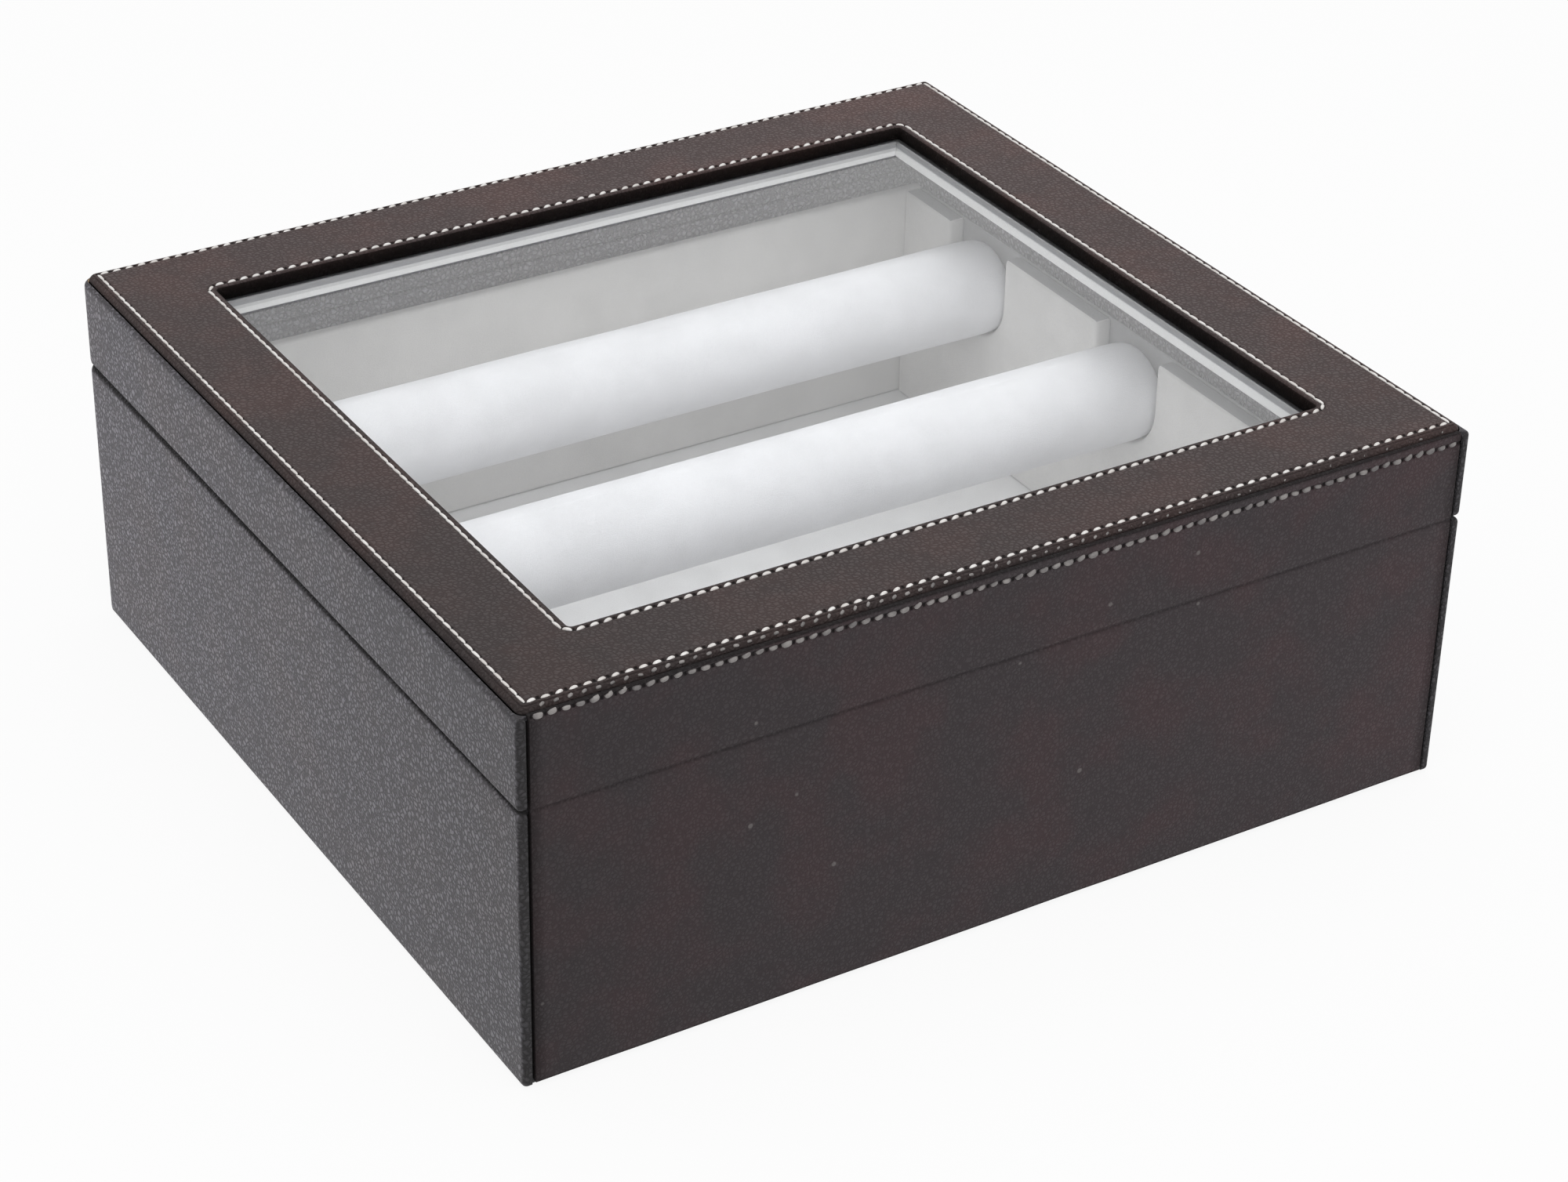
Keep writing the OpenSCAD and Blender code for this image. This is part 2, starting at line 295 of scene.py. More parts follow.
def make_pebble_grain():
    """Leather grain: rounded pebbles with creases between them, and finer pores on top."""
    group, given, out = new_group("pebble_grain", ["Place", "Cells", "Pores"], ["Height", "Crease"])
    warp = add_node(group, "TexNoise", {"Vector": given["Place"], "Scale": given["Cells"], "Detail": 2.0})
    about_zero = {0: warp.outputs["Color"], 1: (0.5, 0.5, 0.5)}
    shift = add_node(group, "VectorMath", about_zero, operation="SUBTRACT")
    reach = math_node(group, "DIVIDE", 0.9, given["Cells"])
    moved = add_node(group, "VectorMath", {0: shift.outputs[0], "Scale": reach}, operation="SCALE")
    bent = add_node(group, "VectorMath", {0: given["Place"], 1: moved.outputs[0]}, operation="ADD")
    cells = {"Vector": bent.outputs[0], "Scale": given["Cells"]}
    edges = add_node(group, "TexVoronoi", cells, feature="DISTANCE_TO_EDGE").outputs["Distance"]
    dome = remap(group, edges, 0.0, 0.32)
    pores = noise_value(group, given["Place"], given["Pores"], 3.0, 0.6)
    height = math_node(group, "MULTIPLY_ADD", pores, 0.35, dome)
    group.links.new(height, out["Height"])
    group.links.new(math_node(group, "SUBTRACT", 1.0, dome), out["Crease"])
    return group


def make_mottle():
    """Uneven dye: broad patches of one tone in another, with a little fine variation."""
    group, given, out = new_group("mottle", ["Place", "Patches", "Tone", "Patch Tone"], ["Colour"])
    broad = noise_value(group, given["Place"], given["Patches"], 4.0, 0.55)
    mask = remap(group, broad, 0.42, 0.66)
    fine_scale = math_node(group, "MULTIPLY", given["Patches"], 9.0)
    fine = noise_value(group, given["Place"], fine_scale, 3.0, 0.6)
    shade = remap(group, fine, 0.25, 0.75, 0.93, 1.06)
    tone = mix_colour(group, mask, given["Tone"], given["Patch Tone"])
    shaded = mix_colour(group, 1.0, tone, shade, blend="MULTIPLY")
    group.links.new(shaded, out["Colour"])
    return group


def make_nap():
    """Short cloth nap: fine fibres, and patches where it has been brushed the other way."""
    group, given, out = new_group("nap", ["Place", "Fibres", "Brushing", "Tone"], ["Colour", "Height"])
    fibres = noise_value(group, given["Place"], given["Fibres"], 4.0, 0.65)
    brushing = noise_value(group, given["Place"], given["Brushing"], 3.0, 0.5)
    fibre_shade = remap(group, fibres, 0.2, 0.8, 0.93, 1.04)
    brush_shade = remap(group, brushing, 0.3, 0.7, 0.95, 1.03)
    shade = math_node(group, "MULTIPLY", fibre_shade, brush_shade)
    colour = mix_colour(group, 1.0, given["Tone"], shade, blend="MULTIPLY")
    group.links.new(colour, out["Colour"])
    group.links.new(fibres, out["Height"])
    return group


def make_specks():
    """Sparse specks of lint and dust."""
    group, given, out = new_group("specks", ["Place", "Spread"], ["Mask"])
    dots = add_node(group, "TexVoronoi", {"Vector": given["Place"], "Scale": given["Spread"]})
    near = remap(group, dots.outputs["Distance"], 0.035, 0.06, 1.0, 0.0)
    pick = math_node(group, "GREATER_THAN", dots.outputs["Color"], 0.8)
    group.links.new(math_node(group, "MULTIPLY", near, pick), out["Mask"])
    return group


def make_painted_light_gradient():
    """Painted light on leather: a factor that lightens the colour from one corner to the other, as from light
    falling on one side.
    """
    group, given, out = new_group("painted_light", ["Place", "Strength"], ["Factor"])
    across = add_node(group, "VectorMath", {0: given["Place"], 1: PAINTED_LIGHT_DIRECTION}, operation="DOT_PRODUCT")
    share = math_node(group, "DIVIDE", across.outputs["Value"], PAINTED_LIGHT_REACH)
    factor = math_node(group, "MULTIPLY_ADD", share, given["Strength"], 1.0)
    group.links.new(factor, out["Factor"])
    return group


def make_needle_holes():
    """A mask where the stitches of a row enter the leather, which the leather sinks by bump and paints with
    shade. Along counts the stitches.
    """
    group, given, out = new_group("needle_holes", ["Near", "Along"], ["Mask"])
    share = math_node(group, "FRACT", given["Along"])
    from_middle = math_node(group, "ABSOLUTE", math_node(group, "SUBTRACT", share, 0.5))
    at_end = remap(group, from_middle, 0.3, 0.48)
    beside = remap(group, given["Near"], 0.1, 0.6)
    group.links.new(math_node(group, "MULTIPLY", at_end, beside), out["Mask"])
    return group


PEBBLE_GRAIN = make_pebble_grain()
PAINTED_LIGHT_GRADIENT = make_painted_light_gradient()
NEEDLE_HOLES = make_needle_holes()
MOTTLE = make_mottle()
NAP = make_nap()
SPECKS = make_specks()


# Materials

def leather(name, tone, patch_tone, painted_light, cells, grain_depth, crease, roughness, specular):
    """Dyed leather with a pebble grain and uneven colour, with painted light from one side, and painted shade
    in seams, grooves, folds, gaps, beside the sewn rows and in needle holes.
    """
    material, tree, shader, place = new_material(name)
    grain = use_group(tree, PEBBLE_GRAIN, {"Place": place, "Cells": cells, "Pores": cells * PORES_PER_CELL})
    dye = use_group(
        tree, MOTTLE, {"Place": place, "Patches": DYE_PATCHES, "Tone": tone, "Patch Tone": patch_tone}
    )
    # Painted light: the dye made lighter towards one corner
    painted_light_factor = use_group(tree, PAINTED_LIGHT_GRADIENT, {"Place": place, "Strength": painted_light})["Factor"]
    dye_and_painted_light = mix_colour(tree, 1.0, dye["Colour"], painted_light_factor, blend="MULTIPLY")
    dust = use_group(tree, SPECKS, {"Place": place, "Spread": DUST_SPREAD})["Mask"]
    near = attribute(tree, "row_near")
    holes = use_group(tree, NEEDLE_HOLES, {"Near": near, "Along": attribute(tree, "row_along")})["Mask"]
    # Creases between the pebbles, darkened partly as dark dye and partly as painted shade
    creased = mix_colour(tree, math_node(tree, "MULTIPLY", grain["Crease"], crease), dye_and_painted_light, CREASE_DYE_AND_SHADE_TONE)
    dusty = mix_colour(tree, math_node(tree, "MULTIPLY", dust, DUST_SHARE), creased, DUST_TONE)
    # Painted shade beside the sewn rows, in needle holes, and where the mesh marks shade in its seams,
    # grooves, folds and gaps
    row_shade = math_node(tree, "MULTIPLY", near, ROW_SHADE)
    dark = math_node(tree, "MAXIMUM", attribute(tree, "pressed"), row_shade)
    dark = math_node(tree, "MAXIMUM", dark, holes)
    rough = remap(tree, grain["Crease"], 0.0, 1.0, roughness, roughness + CREASE_ROUGHNESS)
    set_inputs(
        tree,
        shader,
        Base_Color=mix_colour(tree, math_node(tree, "MULTIPLY", dark, PAINTED_SHADE_STRENGTH), dusty, SHADE_BLACK),
        Roughness=math_node(tree, "MULTIPLY_ADD", dark, PAINTED_SHADE_ROUGHNESS, rough, clamp=True),
        Specular_IOR_Level=specular,
    )
    rise = math_node(tree, "MULTIPLY", grain["Height"], grain_depth)
    set_bump(tree, shader, math_node(tree, "MULTIPLY_ADD", holes, -HOLE_DEPTH, rise))
    return material


def cloth(name, tone, fibres, nap_depth, sheen):
    """Suede or velvet cloth with a short nap."""
    material, tree, shader, place = new_material(name)
    nap = use_group(tree, NAP, {"Place": place, "Fibres": fibres, "Brushing": BRUSH_MARKS, "Tone": tone})
    set_inputs(tree, shader, Base_Color=nap["Colour"], Roughness=0.9, Specular_IOR_Level=0.2)
    set_inputs(tree, shader, Sheen_Weight=sheen, Sheen_Roughness=0.5)
    set_bump(tree, shader, nap["Height"], nap_depth)
    return material


def fibreboard(name, tone):
    """Pressed fibre, painted near black as shade where it shows in the gaps beside the hinge spine."""
    material, tree, shader, place = new_material(name)
    fibre = noise_value(tree, place, 900.0, 4.0, 0.7)
    flakes = noise_value(tree, place, 160.0, 3.0, 0.6)
    shade = math_node(
        tree, "MULTIPLY", remap(tree, fibre, 0.2, 0.8, 0.8, 1.15), remap(tree, flakes, 0.3, 0.7, 0.9, 1.06)
    )
    raw = mix_colour(tree, 1.0, tone, shade, blend="MULTIPLY")
    where = add_node(tree, "SeparateXYZ", {0: place}).outputs
    # Painted shade: the board's back corners, seen in the gaps beside the spine
    outward = math_node(tree, "GREATER_THAN", math_node(tree, "ABSOLUTE", where[0]), SPINE_HI.x - 3 * MM)
    behind = math_node(tree, "LESS_THAN", where[1], SPINE_HI.y + 6 * MM)
    gap_shade = math_node(tree, "MULTIPLY", outward, behind)
    colour = mix_colour(tree, gap_shade, raw, SHADE_BLACK)
    set_inputs(tree, shader, Base_Color=colour, Roughness=0.85, Specular_IOR_Level=0.25)
    set_bump(tree, shader, fibre, 0.08 * MM)
    return material


def thread_material(name, clean, soiled):
    """Waxed thread with a fine twist, soiled in places."""
    material, tree, shader, place = new_material(name)
    dirt = noise_value(tree, place, 220.0, 3.0, 0.6)
    colour = mix_colour(tree, remap(tree, dirt, 0.35, 0.7), clean, soiled)
    set_inputs(tree, shader, Base_Color=colour, Roughness=0.55, Specular_IOR_Level=0.4)
    set_bump(tree, shader, noise_value(tree, place, 2600.0, 2.0, 0.5), 0.08 * MM)
    return material


def bead_material(grey_above_z):
    """Smooth white strip, very slightly uneven, grey above the height of its ledge."""
    material, tree, shader, place = new_material("white_bead")
    cloud = noise_value(tree, place, 45.0, 3.0, 0.5)
    white = mix_colour(tree, remap(tree, cloud, 0.3, 0.7), (0.93, 0.93, 0.93, 1), (0.90, 0.90, 0.90, 1))
    height = add_node(tree, "SeparateXYZ", {0: place}).outputs[2]
    grey_above = remap(tree, height, grey_above_z - 0.1 * MM, grey_above_z + 0.1 * MM)
    colour = mix_colour(tree, grey_above, white, (0.55, 0.55, 0.565, 1))
    set_inputs(tree, shader, Base_Color=colour, Roughness=remap(tree, cloud, 0.3, 0.7, 0.32, 0.45))
    set_bump(tree, shader, noise_value(tree, place, 500.0, 2.0, 0.5), 0.02 * MM)
    return material


def glass_material():
    """Clear window glass. Light from the lamps passes straight through it."""
    material, tree, shader, place = new_material("window_glass")
    smears = noise_value(tree, place, 14.0, 3.0, 0.6)
    set_inputs(tree, shader, Base_Color=(0.985, 0.99, 0.99, 1), IOR=1.5, Transmission_Weight=1.0)
    set_inputs(tree, shader, Roughness=remap(tree, smears, 0.55, 0.85, 0.0, 0.04))
    clear = add_node(tree, "BsdfTransparent", {"Color": (0.965, 0.97, 0.97, 1)})
    shadow = add_node(tree, "LightPath").outputs["Is Shadow Ray"]
    swap = add_node(tree, "MixShader", {0: shadow, 1: shader.outputs[0], 2: clear.outputs[0]})
    tree.links.new(swap.outputs[0], tree.nodes["Material Output"].inputs["Surface"])
    return material


def card_material(name, tone):
    """Pressed card with a faint fibre."""
    material, tree, shader, place = new_material(name)
    fibre = noise_value(tree, place, 700.0, 4.0, 0.6)
    shade = remap(tree, fibre, 0.2, 0.8, 0.88, 1.08)
    colour = mix_colour(tree, 1.0, tone, shade, blend="MULTIPLY")
    set_inputs(tree, shader, Base_Color=colour, Roughness=0.9, Specular_IOR_Level=0.2)
    set_bump(tree, shader, fibre, 0.05 * MM)
    return material


SPINE_LO, SPINE_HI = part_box("spine_base")
BEAD_LO, BEAD_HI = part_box("glass_bead_right")
LEDGE_Z = BEAD_LO.z + BEAD_LEDGE_SHARE * (BEAD_HI.z - BEAD_LO.z)
TOP_LEATHER = leather(
    "top_leather", (0.051, 0.033, 0.032, 1), (0.067, 0.037, 0.034, 1),
    painted_light=0.35, cells=800.0, grain_depth=0.14 * MM, crease=0.25, roughness=0.5, specular=0.36,
)
# Darker copy of the top leather for the edge turned down into the window: painted shade, with some dark dye
TURNED_LEATHER_DYE_AND_SHADE = leather(
    "turned_leather_dye_and_shade", (0.020, 0.015, 0.014, 1), (0.026, 0.016, 0.014, 1),
    painted_light=0.2, cells=800.0, grain_depth=0.14 * MM, crease=0.25, roughness=0.7, specular=0.1,
)
SPINE_LEATHER = leather(
    "spine_leather", (0.045, 0.034, 0.038, 1), (0.059, 0.034, 0.038, 1),
    painted_light=0.25, cells=900.0, grain_depth=0.10 * MM, crease=0.2, roughness=0.5, specular=0.35,
)
# Pebbled leather for the sides, its tone painted much lighter than the top's, as light falling on the sides
SIDE_LEATHER_PAINTED_LIGHT = leather(
    "side_leather_painted_light", (0.206, 0.192, 0.228, 1), (0.219, 0.196, 0.224, 1),
    painted_light=0.30, cells=700.0, grain_depth=0.34 * MM, crease=0.72, roughness=0.38, specular=0.65,
)
BEIGE_SUEDE = cloth("beige_suede", (0.81, 0.797, 0.782, 1), SUEDE_FIBRES, nap_depth=0.12 * MM, sheen=0.15)
PALE_SUEDE = cloth("pale_suede", (0.92, 0.92, 0.93, 1), SUEDE_FIBRES, nap_depth=0.12 * MM, sheen=0.15)
GREY_SUEDE = cloth("grey_suede", (0.100, 0.108, 0.150, 1), SUEDE_FIBRES, nap_depth=0.004 * MM, sheen=0.1)
# Grey for the end linings and the holders' tops: the lining cloth painted darker as shade
SHADE_GREY_SUEDE = cloth("shade_grey_suede", (0.36, 0.36, 0.375, 1), SUEDE_FIBRES, nap_depth=0.05 * MM, sheen=0.1)
WHITE_VELVET = cloth("white_velvet", (0.915, 0.92, 0.95, 1), VELVET_FIBRES, nap_depth=0.12 * MM, sheen=0.2)
FIBREBOARD = fibreboard("fibreboard", (0.42, 0.29, 0.17, 1))
WHITE_THREAD = thread_material("white_thread", (0.92, 0.90, 0.88, 1), (0.70, 0.66, 0.63, 1))
# Dark grey thread for the spine's row and the thread round the sheet's edge: worn, and painted dark as shade
# under the sheet's edge
WORN_AND_SHADED_THREAD = thread_material("worn_and_shaded_thread", (0.32, 0.30, 0.29, 1), (0.15, 0.14, 0.14, 1))
WHITE_BEAD = bead_material(LEDGE_Z)
WINDOW_GLASS = glass_material()
GREY_CARD = card_material("grey_card", (0.34, 0.29, 0.23, 1))
WHITE_CARD = card_material("white_card", (0.84, 0.84, 0.85, 1))
CREAM_FOAM = card_material("cream_foam", (0.80, 0.74, 0.55, 1))


# Mesh tools

def new_object(name, data):
    made = bpy.data.objects.new(name, data)
    bpy.context.scene.collection.objects.link(made)
    return made


def as_mesh(bm, name):
    mesh = bpy.data.meshes.new(name)
    bm.to_mesh(mesh)
    bm.free()
    return mesh


def as_object(bm, name, *materials):
    """Turns a bmesh into an object at the origin."""
    mesh = as_mesh(bm, name)
    for material in materials:
        mesh.materials.append(material)
    return new_object(name, mesh)


def finish_piece(bm, name, materials, body, replaced=()):
    """Turns a bmesh into a finished piece that rides on a body and stands for CAD nodes."""
    for face in bm.faces:
        face.smooth = True
    piece = as_object(bm, name, *materials)
    if replaced:
        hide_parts(*replaced)
    if body:
        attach(piece, body)
    return piece


def mark(bm, **measures):
    """Stores measures of each point, worked out from its place, as attributes of the mesh."""
    for name, measure in measures.items():
        layer = bm.verts.layers.float.new(name)
        for vert in bm.verts:
            vert[layer] = measure(vert.co)


def ramp(value, zero, one):
    """0 at the value zero, 1 at the value one, straight between them and level outside."""
    return min(max((value - zero) / (one - zero), 0.0), 1.0)


def less(radii, amount):
    """Corner radii made smaller by an amount."""
    return tuple(max(radius - amount, SMALLEST_CORNER_R) for radius in radii)


def outline(bm, half_x, half_y, radii, z, cuts_x, cuts_y):
    """A level outline: a small circle whose quarters are moved apart to be round corners.

    radii are those of the corners at the spine and at the opening side.
    """
    half_step = math.pi / (4 * CORNER_STEPS)
    turned = Matrix.Rotation(half_step, 4, "Z")
    ring = bmesh.ops.create_circle(
        bm, segments=4 * CORNER_STEPS, radius=1 / math.cos(half_step), matrix=turned
    )["verts"]
    edges = {edge for vert in ring for edge in vert.link_edges}
    sides_x = [e for e in edges if e.verts[0].co.x * e.verts[1].co.x < 0]
    sides_y = [e for e in edges if e.verts[0].co.y * e.verts[1].co.y < 0]
    for vert in ring:
        radius = radii[0] if vert.co.y < 0 else radii[1]
        vert.co.x = math.copysign(half_x - radius, vert.co.x) + vert.co.x * radius
        vert.co.y = math.copysign(half_y - radius, vert.co.y) + vert.co.y * radius
        vert.co.z = z
    made = list(edges - set(sides_x) - set(sides_y))
    for sides, cuts in ((sides_x, cuts_x), (sides_y, cuts_y)):
        split = bmesh.ops.subdivide_edges(bm, edges=sides, cuts=cuts)["geom_inner"]
        inner = {g for g in split if isinstance(g, bmesh.types.BMVert)}
        made += list({e for v in inner for e in v.link_edges})
    return list(set(made))


def skin(bm, stations, cuts_x, cuts_y, closed=False):
    """Joins a run of outlines (half x, half y, corner radii, z) into one skin."""
    loops = []
    for level, (half_x, half_y, radii, z) in enumerate(stations):
        loops.append(outline(bm, half_x, half_y, radii, level * STACK_STEP, cuts_x, cuts_y))
    heights = [({v for e in loop for v in e.verts}, station[3]) for loop, station in zip(loops, stations)]
    pairs = list(zip(loops, loops[1:]))
    if closed:
        pairs.append((loops[-1], loops[0]))
    for first, second in pairs:
        bmesh.ops.bridge_loops(bm, edges=first + second)
    for verts, z in heights:
        for vert in verts:
            vert.co.z = z
    bmesh.ops.recalc_face_normals(bm, faces=bm.faces)


def arc(start, end, steps):
    """Angles from start to end, in radians, for angles given in degrees."""
    return [math.radians(start + (end - start) * i / steps) for i in range(steps + 1)]


def round_edges(bm, angle, radius):
    """Rounds the edges at which the surface turns by more than an angle."""
    sharp = [e for e in bm.edges if e.is_manifold and e.calc_face_angle(0) > angle]
    bmesh.ops.bevel(
        bm, geom=sharp, offset=radius, segments=EDGE_STEPS, profile=0.5, affect="EDGES", material=-1,
        clamp_overlap=True,
    )


def softened(node, radius):
    """A copy of a CAD node's mesh, merged and with its sharp edges rounded."""
    bm = bmesh.new()
    bm.from_mesh(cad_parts[node].data)
    bmesh.ops.remove_doubles(bm, verts=bm.verts, dist=MERGE_DISTANCE)
    bmesh.ops.dissolve_limit(bm, angle_limit=FLAT_ANGLE, verts=bm.verts, edges=bm.edges)
    round_edges(bm, SHARP_ANGLE, radius)
    return bm


# Leather pieces

BASE_LO, BASE_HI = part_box("base_leather")
LID_LO, LID_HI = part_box("lid_leather")
SHEET_LO, SHEET_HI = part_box("lid_top_leather")
SPINE_TOP_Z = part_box("spine_lid")[1].z
BEAD_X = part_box("glass_bead_right")[0].x
BEAD_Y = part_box("glass_bead_front")[0].y
WINDOW_X = BEAD_X + WINDOW_PAST_BEAD_X
WINDOW_Y = BEAD_Y + WINDOW_PAST_BEAD_Y
TURN_IN_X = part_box("base_right_board")[0].x - LEATHER_T
TURN_IN_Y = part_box("base_front_board")[0].y - LEATHER_T
CUTS_X = 60
CUTS_Y = 56


def rolled_edge(half_x, half_y, radius, centre_z, start, end, corners, steps=ROLL_STEPS, side=1):
    """Stations of a rolled edge. Angle 0 is outward, 90 up, 180 inward.

    side is 1 for an outer edge and -1 for the edge of an opening.
    """
    stations = []
    for a in arc(start, end, steps):
        inward = radius * (side - math.cos(a))
        z = centre_z + radius * math.sin(a)
        stations.append((half_x - inward, half_y - inward, less(corners, inward), z))
    return stations


def open_at_spine(bm):
    """Takes away the back of a wrap where the hinge spine lies."""
    gap_x = SPINE_HI.x + SPINE_GAP
    for point, direction in (
        ((-gap_x, 0, 0), (1, 0, 0)), ((gap_x, 0, 0), (1, 0, 0)), ((0, SPINE_HI.y, 0), (0, 1, 0))
    ):
        geom = bm.verts[:] + bm.edges[:] + bm.faces[:]
        bmesh.ops.bisect_plane(bm, geom=geom, dist=CUT_DISTANCE, plane_co=point, plane_no=direction)
    middles = [(face, face.calc_center_median()) for face in bm.faces]
    behind = [face for face, middle in middles if middle.y < SPINE_HI.y and abs(middle.x) < gap_x]
    bmesh.ops.delete(bm, geom=behind, context="FACES")


def leather_wrap(name, lo, hi, rim_z, rim_up, turn_z, body, node):
    """Side leather, folded over one rim and turned in behind it. rim_up tells which rim is folded."""
    up = 1 if rim_up else -1
    far_z = lo.z if rim_up else hi.z
    tall = abs(rim_z - far_z)
    corners = (SPINE_CORNER_R, FRONT_CORNER_R)
    rim_corners = (RIM_CORNER_R, RIM_CORNER_R)
    bare = [
        (hi.x - UNDERSIDE_FOLD, hi.y - UNDERSIDE_FOLD, less(corners, UNDERSIDE_FOLD), far_z),
        *rolled_edge(hi.x, hi.y, EDGE_R, far_z + up * EDGE_R, -90 * up, 0, corners),
    ]
    walls = [(hi.x, hi.y, corners, far_z + up * tall * share) for share in (0.25, 0.5, 0.75)]
    folded = [
        *rolled_edge(hi.x, hi.y, SEAM_EDGE_R, rim_z - up * SEAM_EDGE_R, 0, 90 * up, corners, SEAM_STEPS),
        *rolled_edge(
            TURN_IN_X, TURN_IN_Y, RIM_EDGE_R, rim_z - up * RIM_EDGE_R, 90 * up, 180 * up, rim_corners, side=-1
        ),
        (TURN_IN_X, TURN_IN_Y, rim_corners, turn_z),
    ]
    bm = bmesh.new()
    skin(bm, bare + walls + folded, CUTS_X, CUTS_Y)
    outward = next(f for f in bm.faces if f.calc_center_median().x > hi.x - 0.1 * MM)
    if outward.normal.x < 0:
        bmesh.ops.reverse_faces(bm, faces=bm.faces)
    open_at_spine(bm)

    # Painted shade at the bare edge, in the seam, and on the corner strip beside the spine
    def pressed(place):
        inward = min(hi.x - abs(place.x), hi.y - abs(place.y))
        edge_shade = BARE_EDGE_SHADE * ramp(abs(place.z - far_z), 1.0 * MM, 0.2 * MM)
        wide = SEAM_SHADOW + SEAM_SHADOW_GAIN * ramp(place.y, lo.y, hi.y)
        seam = ramp(abs(place.z - rim_z), wide, 0.45 * wide) * ramp(inward, 4 * MM, 1.5 * MM)
        strip = CORNER_STRIP_SHADE * ramp(place.y, SPINE_HI.y - 0.3 * MM, lo.y + 0.3 * MM)
        return max(edge_shade, SEAM_SHADE * seam, strip)

    mark(bm, pressed=pressed)
    piece = finish_piece(bm, name, [SIDE_LEATHER_PAINTED_LIGHT], body, (node,))
    thick = piece.modifiers.new("leather", "SOLIDIFY")
    thick.thickness = LEATHER_T
    thick.offset = -1
    return piece


def channel(distance):
    """How deep a row of stitches pulls the leather down, at a distance from the row."""
    share = min(abs(distance) / CHANNEL_HALF, 1.0)
    return CHANNEL_DEPTH * (0.5 + 0.5 * math.cos(math.pi * share))


def inset_from(place, half_x, half_y, corner):
    """How far a place lies inside a round-cornered rectangle, negative outside."""
    out_x = abs(place.x) - (half_x - corner)
    out_y = abs(place.y) - (half_y - corner)
    if out_x <= 0 and out_y <= 0:
        return corner + min(-out_x, -out_y)
    return corner - math.hypot(max(out_x, 0), max(out_y, 0))


def whole_pitch(length):
    """The pitch that puts a whole number of stitches in a row."""
    return length / round(length / STITCH_PITCH)


OUTER_ROW_X = SHEET_HI.x - OUTER_ROW_INSET
OUTER_ROW_Y = SHEET_HI.y - OUTER_ROW_INSET
WINDOW_ROW_X = WINDOW_X + WINDOW_ROW_INSET
WINDOW_ROW_Y = WINDOW_Y + WINDOW_ROW_INSET


def from_outer_edge(place):
    return inset_from(place, SHEET_HI.x, SHEET_HI.y, SHEET_CORNER_R)


def from_window(place):
    return -inset_from(place, WINDOW_X, WINDOW_Y, WINDOW_CORNER_R)


def sheet_pressed(place):
    """Painted shade of the top sheet: in its groove, on its rim, under its edge and on the edge turned into
    the window.
    """
    deep = SHEET_HI.z - place.z
    outer = from_outer_edge(place)
    groove = GROOVE_SHADE * ramp(abs(outer - GROOVE_INSET), GROOVE_HALF, 0.4 * GROOVE_HALF)
    rim = SHEET_RIM_SHADE * ramp(outer, GROOVE_INSET, 0.5 * GROOVE_INSET)
    under = SHEET_UNDER_SHADE * ramp(deep, 0.7 * MM, 1.1 * MM)
    inner = from_window(place)
    turned = TURNED_EDGE_SHADE * ramp(inner, 0.8 * WINDOW_ROW_INSET, 0.2 * WINDOW_ROW_INSET)
    if inner < 1.5 * LEATHER_T:
        turned += TURNED_WALL_SHADE * ramp(deep, 0, 2.5 * MM)
    return max(groove, rim, under, turned)


def sheet_row_near(place):
    outer = ramp(abs(from_outer_edge(place) - OUTER_ROW_INSET), CHANNEL_HALF, 0)
    inner = ramp(abs(from_window(place) - WINDOW_ROW_INSET), CHANNEL_HALF, 0)
    return max(outer, inner)


def sheet_row_along(place):
    """The number of stitches from the start of the nearest row."""
    if from_outer_edge(place) < from_window(place):
        half_x, half_y = OUTER_ROW_X, OUTER_ROW_Y
    else:
        half_x, half_y = WINDOW_ROW_X - WINDOW_ROW_CUT, WINDOW_ROW_Y - WINDOW_ROW_CUT
    if abs(place.x) - half_x > abs(place.y) - half_y:
        return (place.y + half_y) / whole_pitch(2 * half_y)
    return (place.x + half_x) / whole_pitch(2 * half_x)


def sheet_height(inset):
    """Height of the top sheet at a distance from its outer edge: rounded over, grooved and sewn."""
    top = SHEET_HI.z + CROWN
    inward = max(SHEET_EDGE_R - inset, 0)
    rounding = SHEET_EDGE_R - math.sqrt(SHEET_EDGE_R ** 2 - inward ** 2)
    groove = GROOVE_DEPTH * ramp(abs(inset - GROOVE_INSET), GROOVE_HALF, 0)
    return top - rounding - groove - channel(inset - OUTER_ROW_INSET)


